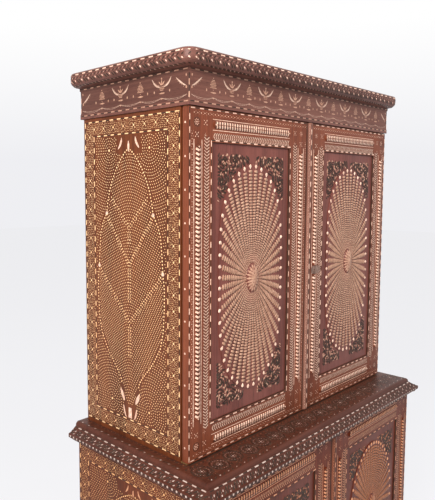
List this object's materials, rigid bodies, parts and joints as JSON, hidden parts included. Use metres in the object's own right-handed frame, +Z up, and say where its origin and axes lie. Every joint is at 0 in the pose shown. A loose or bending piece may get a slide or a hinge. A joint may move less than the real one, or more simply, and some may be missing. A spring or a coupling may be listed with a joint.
{
  "type": "cupboard",
  "caption": "Two-stage cupboard with inlaid panelled doors, a frieze and moulded cap, on a deeper base with a second pair of doors.",
  "frame": {"origin": "on the floor, under the centre of the whole outline", "axes": "+X to the viewer's right seen from the doors, +Y from the doors to the back, +Z up"},
  "size_m": [1.218, 0.617, 1.926],
  "materials": {
    "door_wood": "satin lacquer over red-brown hardwood, inlaid",
    "panel_wood": "satin lacquer over red-brown hardwood",
    "bone_work": "bone beads let into red-brown wood, lacquered",
    "case_wood": "satin lacquer over red-brown hardwood, inlaid",
    "moulding_wood": "satin lacquer over darker brown hardwood, inlaid",
    "inner_wood": "plain planed hardwood",
    "brass": "aged, satin",
    "lock_iron": "dark, worn"
  },
  "bodies": {
    "root": {"plinth_front": "moulding_wood", "plinth_returns": "moulding_wood", "base_bottom_board": "moulding_wood", "base_front_rail": "moulding_wood", "base_top_board": "moulding_wood", "base_moulding": "moulding_wood", "cap_moulding": "moulding_wood", "cap_board": "moulding_wood", "upper_left_side": "case_wood", "upper_right_side": "case_wood", "base_left_side": "case_wood", "base_right_side": "case_wood", "upper_top_board": "case_wood", "frieze_front": "case_wood", "frieze_returns": "case_wood", "base_back_boards": "inner_wood", "base_shelf": "inner_wood", "upper_bottom_board": "inner_wood", "upper_back_boards": "inner_wood", "upper_shelves": "inner_wood", "shelf_cleats": "inner_wood", "stage_dowels": "inner_wood", "pivot_plates": "brass"},
    "upper_left_door": {"upper_left_hinge_stile": "door_wood", "upper_left_meeting_stile": "door_wood", "upper_left_rails": "door_wood", "upper_left_panel": "panel_wood", "upper_left_sunburst": "bone_work", "upper_left_strips": "door_wood", "upper_left_bolt_guides": "brass"},
    "upper_left_top_bolt": {"upper_left_top_bolt": "brass"},
    "upper_left_bottom_bolt": {"upper_left_bottom_bolt": "brass"},
    "upper_right_door": {"upper_right_hinge_stile": "door_wood", "upper_right_meeting_stile": "door_wood", "upper_right_rails": "door_wood", "upper_right_panel": "panel_wood", "upper_right_sunburst": "bone_work", "upper_right_strips": "door_wood", "upper_right_cover_bead": "door_wood", "upper_right_lock": "lock_iron"},
    "upper_right_lock_bolt": {"upper_right_lock_bolt": "brass"},
    "lower_left_door": {"lower_left_hinge_stile": "door_wood", "lower_left_meeting_stile": "door_wood", "lower_left_rails": "door_wood", "lower_left_panel": "panel_wood", "lower_left_sunburst": "bone_work", "lower_left_strips": "door_wood", "lower_left_bolt_guides": "brass"},
    "lower_left_top_bolt": {"lower_left_top_bolt": "brass"},
    "lower_left_bottom_bolt": {"lower_left_bottom_bolt": "brass"},
    "lower_right_door": {"lower_right_hinge_stile": "door_wood", "lower_right_meeting_stile": "door_wood", "lower_right_rails": "door_wood", "lower_right_panel": "panel_wood", "lower_right_sunburst": "bone_work", "lower_right_strips": "door_wood", "lower_right_cover_bead": "door_wood", "lower_right_lock": "lock_iron"},
    "lower_right_lock_bolt": {"lower_right_lock_bolt": "brass"}
  },
  "joints": [
    {"name": "upper_left_swing", "type": "hinge", "parent": "root", "child": "upper_left_door", "pos_m": [-0.532, -0.1565, 0.9], "axis": [0, 0, -1], "range_deg": [0, 92]},
    {"name": "upper_left_top_bolt_slide", "type": "slide", "parent": "upper_left_door", "child": "upper_left_top_bolt", "axis": [0, 0, 1], "range_m": [0, 0.012]},
    {"name": "upper_left_bottom_bolt_slide", "type": "slide", "parent": "upper_left_door", "child": "upper_left_bottom_bolt", "axis": [0, 0, -1], "range_m": [0, 0.012]},
    {"name": "upper_right_swing", "type": "hinge", "parent": "root", "child": "upper_right_door", "pos_m": [0.532, -0.1565, 0.9], "axis": [0, 0, 1], "range_deg": [0, 92]},
    {"name": "upper_right_lock_bolt_slide", "type": "slide", "parent": "upper_right_door", "child": "upper_right_lock_bolt", "axis": [-1, 0, 0], "range_m": [0, 0.01]},
    {"name": "lower_left_swing", "type": "hinge", "parent": "root", "child": "lower_left_door", "pos_m": [-0.568, -0.2615, 0.1], "axis": [0, 0, -1], "range_deg": [0, 92]},
    {"name": "lower_left_top_bolt_slide", "type": "slide", "parent": "lower_left_door", "child": "lower_left_top_bolt", "axis": [0, 0, 1], "range_m": [0, 0.012]},
    {"name": "lower_left_bottom_bolt_slide", "type": "slide", "parent": "lower_left_door", "child": "lower_left_bottom_bolt", "axis": [0, 0, -1], "range_m": [0, 0.012]},
    {"name": "lower_right_swing", "type": "hinge", "parent": "root", "child": "lower_right_door", "pos_m": [0.568, -0.2615, 0.1], "axis": [0, 0, 1], "range_deg": [0, 92]},
    {"name": "lower_right_lock_bolt_slide", "type": "slide", "parent": "lower_right_door", "child": "lower_right_lock_bolt", "axis": [-1, 0, 0], "range_m": [0, 0.01]}
  ]
}
